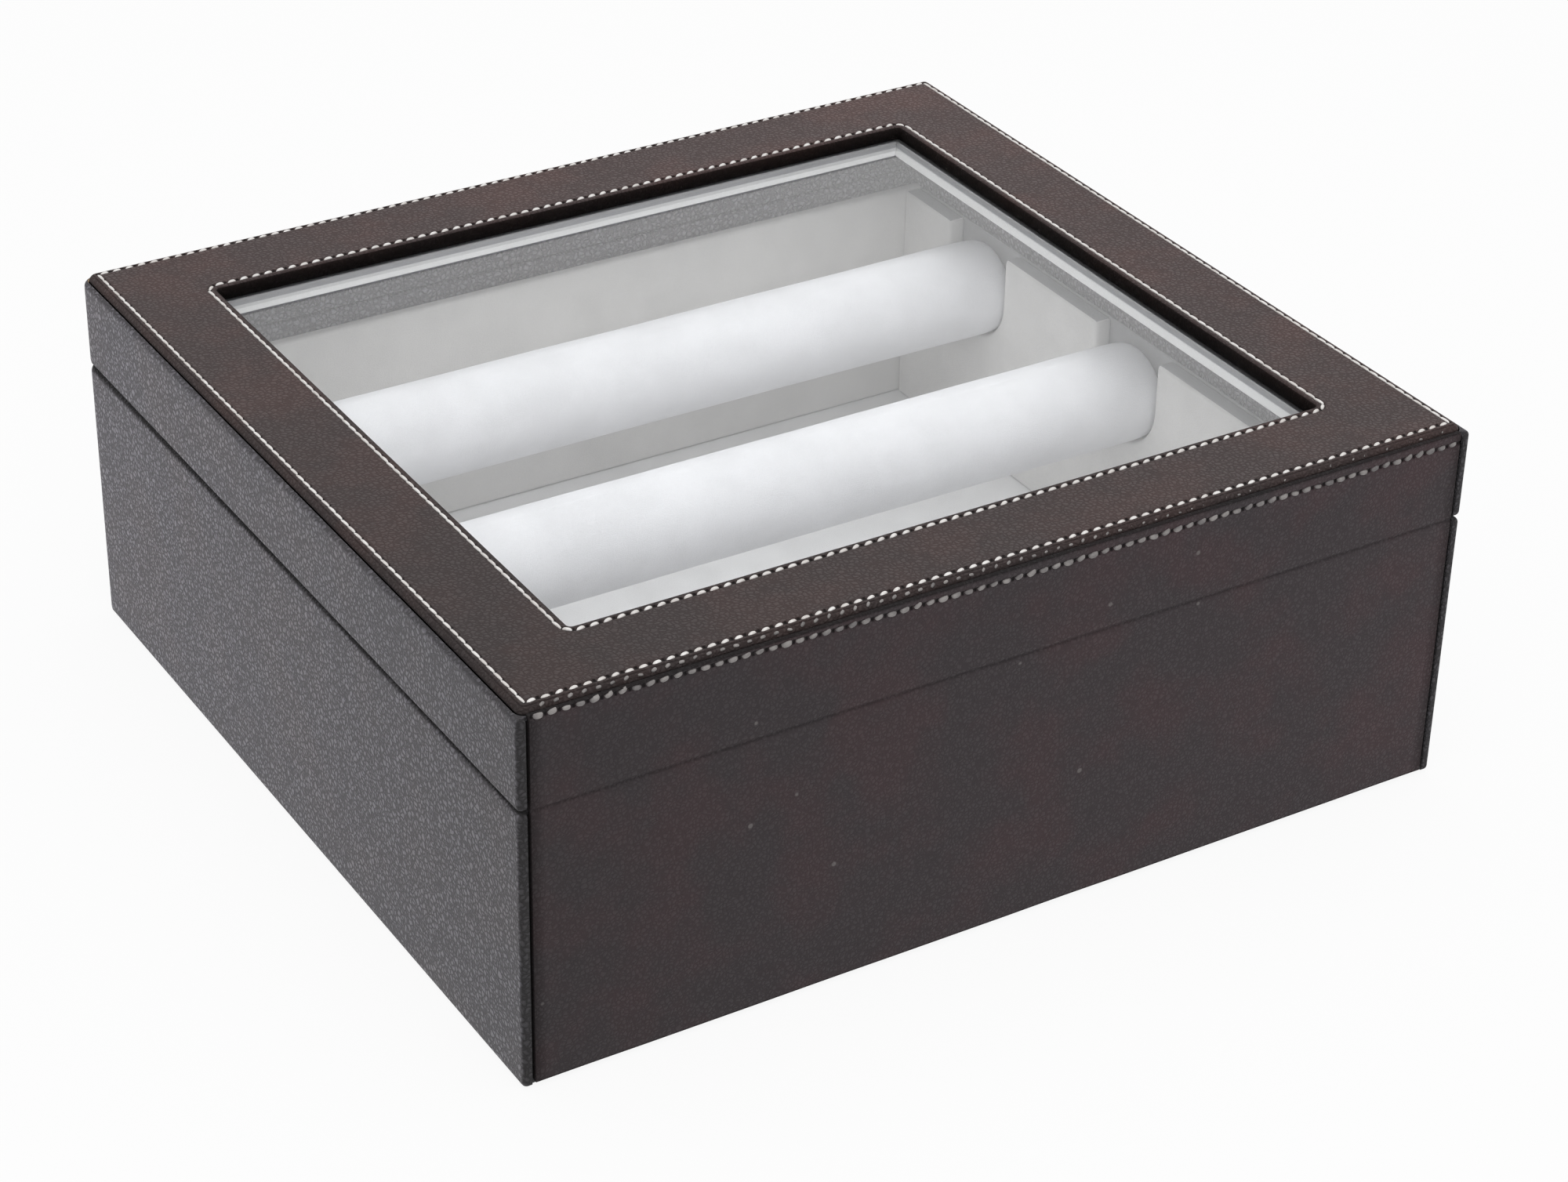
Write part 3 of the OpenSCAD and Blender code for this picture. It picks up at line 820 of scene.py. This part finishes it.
def top_sheet():
    """Top sheet of the lid: rounded outer edge, two sewn rows, and an edge turned down into the window."""
    top = SHEET_HI.z + CROWN
    low = SHEET_LO.z
    under = SHEET_HI.z - LEATHER_T
    corners = (SHEET_CORNER_R, SHEET_CORNER_R)
    window_corners = (WINDOW_CORNER_R, WINDOW_CORNER_R)

    def inside_edge(inset, z):
        return (SHEET_HI.x - inset, SHEET_HI.y - inset, less(corners, inset), z)

    def round_window(reach, z):
        return (WINDOW_X + reach, WINDOW_Y + reach, less(window_corners, -reach), z)

    stations = [inside_edge(0.4 * MM, under)]
    edge_insets = [0.06 * MM, 0.15 * MM, 0.3 * MM, 0.5 * MM, 0.7 * MM, 0.9 * MM]
    groove_insets = [GROOVE_INSET + GROOVE_HALF * step / 2 for step in range(-2, 3)]
    row_insets = [OUTER_ROW_INSET + CHANNEL_HALF * step / 4 for step in range(-3, 6)]
    stations += [inside_edge(i, sheet_height(i)) for i in edge_insets + groove_insets + row_insets]
    frame_width = from_window(Vector((OUTER_ROW_X, 0, 0))) - WINDOW_ROW_INSET
    for share in (0.2, 0.35, 0.5, 0.7, 0.85):
        stations.append(round_window(WINDOW_ROW_INSET + frame_width * (1 - share), top))
    for step in range(5, -4, -1):
        away = step / 4 * CHANNEL_HALF
        stations.append(round_window(WINDOW_ROW_INSET + away, top - channel(away)))
    edge_z = top - WINDOW_EDGE_DROP - WINDOW_EDGE_R
    stations += rolled_edge(WINDOW_X, WINDOW_Y, WINDOW_EDGE_R, edge_z, 90, 180, window_corners, side=-1)
    stations += [round_window(0, low), round_window(LEATHER_T, low), round_window(LEATHER_T, under)]
    bm = bmesh.new()
    skin(bm, stations, CUTS_X, CUTS_Y, closed=True)
    for vert in bm.verts:
        between = ramp(from_outer_edge(vert.co), 3 * MM, 8 * MM) * ramp(from_window(vert.co), 3 * MM, 8 * MM)
        if vert.co.z > SHEET_HI.z:
            vert.co.z -= FRAME_SWELL * between * (0.5 + noise.noise(vert.co * 45))
    for face in bm.faces:
        if from_window(face.calc_center_median()) < 0.3 * WINDOW_EDGE_R:
            face.material_index = 1
    mark(bm, pressed=sheet_pressed, row_near=sheet_row_near, row_along=sheet_row_along)
    leathers = [TOP_LEATHER, TURNED_LEATHER_DYE_AND_SHADE]
    return finish_piece(bm, "top_sheet", leathers, "lid", ("lid_top_leather",))


def spine_row_z(x):
    """Height of the spine's row: close under the upper edge at one end, then slowly down to its full drop."""
    share = ramp(x, SPINE_LO.x, SPINE_ROW_LEVEL_X)
    drop = SPINE_ROW_START_DROP + (SPINE_ROW_DROP - SPINE_ROW_START_DROP) * share
    return SPINE_TOP_Z - drop


def spine_heights(low, high, hinge_z, row_z):
    """Heights of the spine's rows of points: close together at the fold, the sewn row and the edges."""
    heights = [low, low + 0.5 * MM]
    while heights[-1] < high - 0.3 * MM:
        z = heights[-1]
        close = min(abs(z - hinge_z) - CREASE_HALF, abs(z - row_z) - CHANNEL_HALF)
        step = 0.27 * MM + 0.3 * max(close, 0)
        heights.append(z + min(step, 2.0 * MM))
    heights[-1] = high
    return heights


def along_row(x, z, row_z):
    """Moves a point, laid out for a level row at row_z, so that it keeps its place by the sloping row."""
    shift = spine_row_z(x) - row_z
    if z > row_z:
        return z + shift * (SPINE_TOP_Z - z) / (SPINE_TOP_Z - row_z)
    return z + shift * ramp(z, row_z - SPINE_ROW_REACH, row_z)


def hinge_spine():
    """One sheet from the underside to the top, with a fold at the seam and a sewn upper edge."""
    low = SPINE_LO
    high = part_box("spine_lid")[1]
    hinge_z = (SPINE_HI.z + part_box("spine_lid")[0].z) / 2
    row_z = SPINE_TOP_Z - SPINE_ROW_DROP
    width = high.x - low.x
    columns = round(width / STITCH_PITCH)
    heights = spine_heights(low.z, high.z, hinge_z, row_z)
    rows = len(heights) - 1
    bm = bmesh.new()
    turn = Matrix.Rotation(math.pi / 2, 4, "X")
    bmesh.ops.create_grid(bm, x_segments=columns, y_segments=rows, size=0.5, matrix=turn)
    for vert in bm.verts:
        vert.co.x *= width
        vert.co.z = along_row(vert.co.x, heights[round((vert.co.z + 0.5) * rows)], row_z)
        fold = ramp(abs(vert.co.z - hinge_z), CREASE_HALF, 0)
        sewn = channel(vert.co.z - spine_row_z(vert.co.x))
        wave = SPINE_WAVE * max(noise.noise(vert.co * 30), 0.0)
        vert.co.y = low.y + CREASE_DEPTH * fold * fold + sewn + wave
    for face in bm.faces:
        if face.normal.y > 0:
            face.normal_flip()
    bmesh.ops.solidify(bm, geom=bm.faces, thickness=LEATHER_T)
    round_edges(bm, SPINE_SHARP_ANGLE, SPINE_EDGE_R)
    bmesh.ops.recalc_face_normals(bm, faces=bm.faces)

    # Painted shade in the fold, at the spine's ends and along its upper and lower edges
    def pressed(place):
        crease = FOLD_SHADE * ramp(abs(place.z - hinge_z), 0.7 * MM, 0.1 * MM)
        ends = SPINE_END_SHADE * ramp(high.x - abs(place.x), 0.5 * MM, 0)
        rims = SPINE_RIM_SHADE * ramp(min(place.z - low.z, high.z - place.z), 0.5 * MM, 0)
        return max(crease, ends, rims)

    row_start = low.x + SPINE_ROW_MARGIN
    pitch = whole_pitch(width - 2 * SPINE_ROW_MARGIN)
    mark(
        bm,
        pressed=pressed,
        row_near=lambda place: ramp(abs(place.z - spine_row_z(place.x)), CHANNEL_HALF, 0),
        row_along=lambda place: (place.x - row_start) / pitch,
    )
    piece = finish_piece(
        bm, "hinge_spine", [SPINE_LEATHER], None, ("spine_base", "spine_lid")
    )
    fold = Vector((0, low.y, hinge_z))
    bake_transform(piece)
    return piece


# Stitching

def stitch_shape():
    """One stitch of length 1 along X: a full thread whose ends dive into the leather."""
    bm = bmesh.new()
    lying = Matrix.Rotation(math.pi / 2, 4, "Y")
    bmesh.ops.create_uvsphere(bm, u_segments=8, v_segments=7, radius=0.5, matrix=lying)
    for vert in bm.verts:
        reach = math.hypot(vert.co.y, vert.co.z)
        if reach > 0.01:
            fuller = (2 * reach) ** -0.45
            vert.co.y *= fuller
            vert.co.z *= fuller
        vert.co.z -= THREAD_DIVE * (2 * vert.co.x) ** 4
    return as_mesh(bm, "stitch")


STITCH = stitch_shape()


def lay_stitch(bm, middle, along, out, length, turn, thickness=1.0):
    """Lays one stitch on the leather. out is the side that the thread lies on."""
    axes = Matrix((along, out.cross(along), out)).transposed().to_4x4()
    size = Matrix.Diagonal((length, THREAD_WIDTH * thickness, THREAD_HEIGHT * thickness, 1))
    stitch = STITCH.copy()
    stitch.transform(Matrix.Translation(middle) @ axes @ Matrix.Rotation(turn, 4, "Z") @ size)
    bm.from_mesh(stitch)
    bpy.data.meshes.remove(stitch)


def stitch_row(bm, path, out, phase, sewing, thread_share=0.5):
    """Stitches along a row, each slightly off its line. path gives the place at a share of the row."""
    along = path(1.0) - path(0.0)
    count = round(along.length / STITCH_PITCH)
    along.normalize()
    across = out.cross(along)
    for i in range(count):
        wander = sewing.unevenness * noise.noise(Vector((i * 0.9 + phase, phase, 0.5)))
        drawn = sewing.unevenness * noise.noise(Vector((i * 1.3, phase, 3.7)))
        middle = path((i + thread_share) / count) + across * wander * STITCH_SWAY
        length = sewing.length * (1 + LENGTH_VARIES * drawn)
        thickness = sewing.thickness * (1 + THICKNESS_VARIES * drawn)
        lay_stitch(bm, middle, along, out, length, sewing.slant * (1 + wander), thickness)


def straight(start, end):
    return lambda share: start.lerp(end, share)


def stitched_rectangle(name, half_x, half_y, z, corner_cut, phase):
    """Four rows round the frame, with one slanting stitch across each corner that is cut."""
    up = Vector((0, 0, 1))
    bm = bmesh.new()
    for side in (-1, 1):
        reach = half_x - corner_cut
        ends = [Vector((end * reach, side * half_y, z)) for end in (-1, 1)]
        stitch_row(bm, straight(*ends), up, phase + side, CROSS_ROW)
        reach = half_y - corner_cut
        ends = [Vector((side * half_x, end * reach, z)) for end in (-1, 1)]
        stitch_row(bm, straight(*ends), up, phase + 5 * side, SIDE_ROW)
    if corner_cut:
        for side_x in (-1, 1):
            for side_y in (-1, 1):
                middle = Vector((side_x * (half_x - corner_cut / 2), side_y * (half_y - corner_cut / 2), z))
                along = Vector((side_x, -side_y, 0)).normalized()
                lay_stitch(bm, middle, along, up, CROSS_ROW.length, 0.0)
    return finish_piece(bm, name, [WHITE_THREAD], "lid")


def stitching():
    bottom = SHEET_HI.z + CROWN - CHANNEL_DEPTH
    outer_z = bottom + OUTER_ROW_SEAT * THREAD_HEIGHT
    window_z = bottom + WINDOW_ROW_SEAT * THREAD_HEIGHT
    stitched_rectangle("outer_stitching", OUTER_ROW_X, OUTER_ROW_Y, outer_z, 0.0, 1.3)
    stitched_rectangle("window_stitching", WINDOW_ROW_X, WINDOW_ROW_Y, window_z, WINDOW_ROW_CUT, 4.1)
    low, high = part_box("spine_lid")
    seat_y = low.y + CHANNEL_DEPTH - 0.3 * THREAD_HEIGHT
    level = straight(
        Vector((low.x + SPINE_ROW_MARGIN, seat_y, 0)), Vector((high.x - SPINE_ROW_MARGIN, seat_y, 0))
    )

    def spine_path(share):
        place = level(share)
        place.z = spine_row_z(place.x)
        return place

    bm = bmesh.new()
    stitch_row(bm, spine_path, Vector((0, -1, 0)), 9.7, SPINE_ROW)
    edge_y = EDGE_ROW_INSET - SHEET_HI.y
    edge = straight(Vector((-OUTER_ROW_X, edge_y, 0)), Vector((OUTER_ROW_X, edge_y, 0)))

    def edge_path(share):
        place = edge(share)
        place.z = sheet_height(EDGE_ROW_INSET) - EDGE_ROW_SINK * ramp(share, 0.3, 0.7)
        return place

    stitch_row(bm, edge_path, Vector((0, -0.6, 0.8)), 2.9, EDGE_ROW, 1.0)
    finish_piece(bm, "spine_stitching", [WORN_AND_SHADED_THREAD], "lid")


# Rolls

def slim_cover(half, radius):
    """A roll's closed skin before it swells, spun round and tucked in at both ends."""
    bm = bmesh.new()
    end = [(END_TUCK - half, END_HOLE_R), (-half, END_HOLE_R + END_LIP)]
    for a in arc(180, 90, SHOULDER_STEPS):
        end.append((-half + ROLL_SHOULDER * (1 + math.cos(a)), radius - ROLL_SHOULDER * (1 - math.sin(a))))
    span = 2 * (half - ROLL_SHOULDER)
    middle = [(-half + ROLL_SHOULDER + span * i / ROLL_RINGS, radius) for i in range(1, ROLL_RINGS)]
    other_end = [(-x, reach) for x, reach in reversed(end)]
    profile = [bm.verts.new((x, 0, reach)) for x, reach in end + middle + other_end]
    edges = [bm.edges.new(pair) for pair in zip(profile, profile[1:])]
    edges.append(bm.edges.new((profile[-1], profile[0])))
    bmesh.ops.spin(
        bm, geom=profile + edges, cent=(0, 0, 0), axis=(1, 0, 0), angle=2 * math.pi,
        steps=ROLL_SEGMENTS, use_merge=True,
    )
    bmesh.ops.remove_doubles(bm, verts=bm.verts, dist=MERGE_DISTANCE)
    bmesh.ops.recalc_face_normals(bm, faces=bm.faces)
    crease = bm.edges.layers.float.new("crease_edge")
    for edge in bm.edges:
        if max(round_reach(vert) for vert in edge.verts) < END_HOLE_R + END_LIP / 2:
            edge[crease] = float(edge.calc_length() < END_TUCK)
    return bm


def round_reach(vert):
    """Distance from a roll's middle line."""
    return math.hypot(vert.co.y, vert.co.z)


def held_points(bm, half):
    """Points that the cover keeps: its tucked ends, and tacks along the seam on its underside."""
    bm.verts.index_update()
    ring = 2 * (half - ROLL_SHOULDER) / ROLL_RINGS
    held = []
    for vert in bm.verts:
        at_seam = vert.co.z < 0 and abs(vert.co.y) < 0.1 * MM
        tacked = at_seam and round(vert.co.x / ring) % RINGS_PER_TACK == 0
        if tacked or round_reach(vert) < END_HOLE_R + 1.5 * END_LIP:
            held.append(vert.index)
    return held


def swollen_cover(half, radius):
    """The cover filled by its foam: cloth under pressure, then one subdivision."""
    scene = bpy.context.scene
    bm = slim_cover(half, radius - COVER_SLACK)
    held = held_points(bm, half)
    trial = as_object(bm, "slim_cover")
    trial.vertex_groups.new(name="held").add(held, 1.0, "REPLACE")
    filling = trial.modifiers.new("filling", "CLOTH")
    filling.collision_settings.use_collision = False
    filling.point_cache.frame_start = 1
    filling.point_cache.frame_end = COVER_FRAMES
    fabric = filling.settings
    fabric.mass = COVER_MASS
    fabric.tension_stiffness = COVER_STRETCH
    fabric.compression_stiffness = COVER_STRETCH
    fabric.shear_stiffness = COVER_STRETCH / 2
    fabric.bending_stiffness = COVER_BENDING
    fabric.use_pressure = True
    fabric.uniform_pressure_force = COVER_PRESSURE
    fabric.vertex_group_mass = "held"
    fabric.effector_weights.gravity = 0
    rounding = trial.modifiers.new("rounding", "SUBSURF")
    rounding.levels = 1
    rounding.render_levels = 1
    for step in range(1, COVER_FRAMES + 1):
        scene.frame_set(step)
    filled = trial.evaluated_get(bpy.context.evaluated_depsgraph_get())
    swollen = bpy.data.meshes.new_from_object(filled)
    bpy.data.objects.remove(trial)
    scene.frame_set(1)
    return swollen


def padded_rolls():
    """Foam rolls in white velvet, gathered in small folds at both ends."""
    low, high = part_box("roll_cover_middle")
    radius = (high.z - low.z) / 2
    half = (high.x - low.x) / 2
    swollen = swollen_cover(half, radius)
    for row, turn in ROLL_TURNS.items():
        cover = "roll_cover_" + row
        low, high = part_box(cover)
        centre = (low + high) / 2
        bm = bmesh.new()
        bm.from_mesh(swollen)
        bmesh.ops.rotate(bm, verts=bm.verts, cent=(0, 0, 0), matrix=Matrix.Rotation(turn, 3, "X"))
        for vert in bm.verts:
            reach = round_reach(vert)
            out = Vector((0, vert.co.y, vert.co.z)) / reach
            angle = math.atan2(vert.co.y, vert.co.z)
            near_end = max(0.0, 1 - (half - abs(vert.co.x)) / END_FOLD_REACH)
            kept = min(reach, radius)
            if reach > END_HOLE_R + END_LIP / 2:
                along = vert.co.x * ROLL_WAVES_ALONG
                place = Vector((along, angle * ROLL_WAVES_AROUND, centre.y * ROLL_WAVE_SHIFT))
                folds = END_FOLD_DEPTH * near_end * (0.5 + 0.5 * math.cos(END_FOLDS * angle))
                kept -= folds + max(ROLL_WAVE * noise.noise(place), 0.0)
            vert.co += out * (kept - reach)
            vert.co += centre
        soft_nodes = (cover, "roll_padding_" + row)
        name = "padded_roll_" + row
        piece = finish_piece(bm, name, [WHITE_VELVET], "roll_" + row, soft_nodes)


# Cloth, beads and the inner boards

def lined_panels():
    """Cloth-covered linings and holders with softened edges."""
    for side in ("front", "back"):
        panel(f"base_{side}_lining", [BEIGE_SUEDE], "base", WALL_EDGE_R)
    for side in ("left", "right"):
        # End linings and holder tops: grey cloth painted as shade
        panel(f"base_{side}_lining", [SHADE_GREY_SUEDE], "base", SLOT_EDGE_R)
        panel(f"roll_holder_{side}", [BEIGE_SUEDE, SHADE_GREY_SUEDE], "base", WALL_EDGE_R)
    panel("floor_lining", [PALE_SUEDE], "base", FLOOR_EDGE_R)
    for side in ("front", "back", "left", "right"):
        panel(f"lid_{side}_lining", [GREY_SUEDE], "lid", LID_EDGE_R)
        glass_bead(f"glass_bead_{side}")


def glass_bead(node):
    """A white strip whose lower part slopes out into a ledge."""
    bm = softened(node, LID_EDGE_R)
    geom = bm.verts[:] + bm.edges[:] + bm.faces[:]
    bmesh.ops.bisect_plane(bm, geom=geom, dist=CUT_DISTANCE, plane_co=(0, 0, LEDGE_Z), plane_no=(0, 0, 1))
    for vert in bm.verts:
        reach = BEAD_LEDGE_SLOPE * max(LEDGE_Z - vert.co.z, 0.0)
        if BEAD_X - MM < abs(vert.co.x) < BEAD_X + MM:
            vert.co.x -= math.copysign(reach, vert.co.x)
        if BEAD_Y - MM < abs(vert.co.y) < BEAD_Y + MM:
            vert.co.y -= math.copysign(reach, vert.co.y)
    return finish_piece(bm, "soft_" + node, [WHITE_BEAD], "lid", (node,))


def panel(node, materials, body, edge):
    """A soft-edged copy of a CAD node. Its second material, where it has one, lies on its top."""
    bm = softened(node, edge)
    if len(materials) > 1:
        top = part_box(node)[1].z
        for face in bm.faces:
            if face.normal.z > 0.8 and face.calc_center_median().z > top - 0.3 * MM:
                face.material_index = 1
    return finish_piece(bm, "soft_" + node, materials, body, (node,))


def dress_nodes():
    """Materials of the CAD nodes that stay as they are."""
    finishes = {"window_glass": WINDOW_GLASS, "glass_spacer": FIBREBOARD, "underside_sheet": SPINE_LEATHER}
    for row in ("front", "middle", "back"):
        finishes["roll_tube_" + row] = GREY_CARD
        finishes["roll_caps_" + row] = WHITE_CARD
        finishes["roll_padding_" + row] = CREAM_FOAM
    for node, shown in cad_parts.items():
        if node.endswith("_board"):
            finishes[node] = FIBREBOARD
        if node in finishes:
            shown.data.materials.clear()
            shown.data.materials.append(finishes[node])


leather_wrap(
    "base_wrap", BASE_LO, BASE_HI, BASE_HI.z, True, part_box("base_front_lining")[1].z, "base", "base_leather"
)
leather_wrap(
    "lid_wrap", LID_LO, LID_HI, LID_LO.z, False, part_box("lid_front_lining")[0].z, "lid", "lid_leather"
)
top_sheet()
hinge_spine()
stitching()
padded_rolls()
lined_panels()
dress_nodes()


# Floor, light and camera

FLOOR_GLOW = 0.91
ROOM_LIGHT = 0.5
WINDOW_LIGHT = 0.2
WINDOW_SIDE = (0.809, -0.588, 0.0)


def seen_directly(tree):
    """1 for what the camera sees, directly, in a reflection or through the glass."""
    path = add_node(tree, "LightPath").outputs
    seen = math_node(tree, "MAXIMUM", path["Is Camera Ray"], path["Is Glossy Ray"])
    return math_node(tree, "MAXIMUM", seen, path["Is Transmission Ray"])


def make_floor():
    """A plain white floor that keeps a soft shadow of the box."""
    bm = bmesh.new()
    bmesh.ops.create_grid(bm, x_segments=1, y_segments=1, size=6.0)
    material, tree, shader, _ = new_material("pale_floor")
    set_inputs(tree, shader, Base_Color=(0.93, 0.93, 0.935, 1), Roughness=0.9, Specular_IOR_Level=0.0)
    glow = add_node(tree, "Emission", {"Color": (1, 1, 1, 1), "Strength": 1.0})
    share = math_node(tree, "MULTIPLY", seen_directly(tree), FLOOR_GLOW)
    mixed = add_node(tree, "MixShader", {0: share, 1: shader.outputs[0], 2: glow.outputs[0]})
    tree.links.new(mixed.outputs[0], tree.nodes["Material Output"].inputs["Surface"])
    as_object(bm, "floor", material)


def make_world():
    """White surroundings, brighter on one side behind the box, as from a broad window."""
    world = bpy.data.worlds.new("studio")
    bpy.context.scene.world = world
    world.use_nodes = True
    tree = world.node_tree
    background = tree.nodes["Background"]
    toward = add_node(tree, "TexCoord").outputs["Generated"]
    sideways = add_node(tree, "VectorMath", {0: toward, 1: WINDOW_SIDE}, operation="DOT_PRODUCT")
    behind = remap(tree, add_node(tree, "SeparateXYZ", {0: toward}).outputs[1], -0.1, 0.3)
    bright = math_node(tree, "MULTIPLY", remap(tree, sideways.outputs["Value"], -0.12, 0.03), behind)
    plain = remap(tree, seen_directly(tree), 0.0, 1.0, ROOM_LIGHT, 1.0)
    strength = math_node(tree, "MULTIPLY", plain, math_node(tree, "MULTIPLY_ADD", bright, WINDOW_LIGHT, 1.0))
    tree.links.new(strength, background.inputs["Strength"])
    background.inputs["Color"].default_value = (1, 1, 1, 1)


def make_lamp(name, place, size, power):
    data = bpy.data.lights.new(name, "AREA")
    data.size = size
    data.energy = power
    lamp = new_object(name, data)
    lamp.location = place
    lamp.rotation_euler = (CAMERA_TARGET - Vector(place)).to_track_quat("-Z", "Y").to_euler()


def make_camera():
    data = bpy.data.cameras.new("camera")
    data.lens = CAMERA_LENS
    data.sensor_width = SENSOR_WIDTH
    data.clip_start = 0.01
    camera = new_object("camera", data)
    turn = Euler((math.radians(-CAMERA_ELEVATION), 0, math.radians(CAMERA_AZIMUTH)))
    back = turn.to_matrix() @ Vector((0, -1, 0))
    aim = (-back).to_track_quat("-Z", "Y").to_matrix().to_4x4()
    tilt = Matrix.Rotation(math.radians(CAMERA_ROLL), 4, "Z")
    camera.matrix_world = Matrix.Translation(CAMERA_TARGET + back * CAMERA_DISTANCE) @ aim @ tilt
    bpy.context.scene.camera = camera


make_floor()
make_world()
make_lamp("key", place=(-0.45, -0.9, 1.5), size=1.6, power=10.0)
make_lamp("overhead", place=(0.1, 0.1, 1.6), size=1.2, power=5.2)
make_camera()
bpy.context.scene.view_settings.view_transform = "Standard"
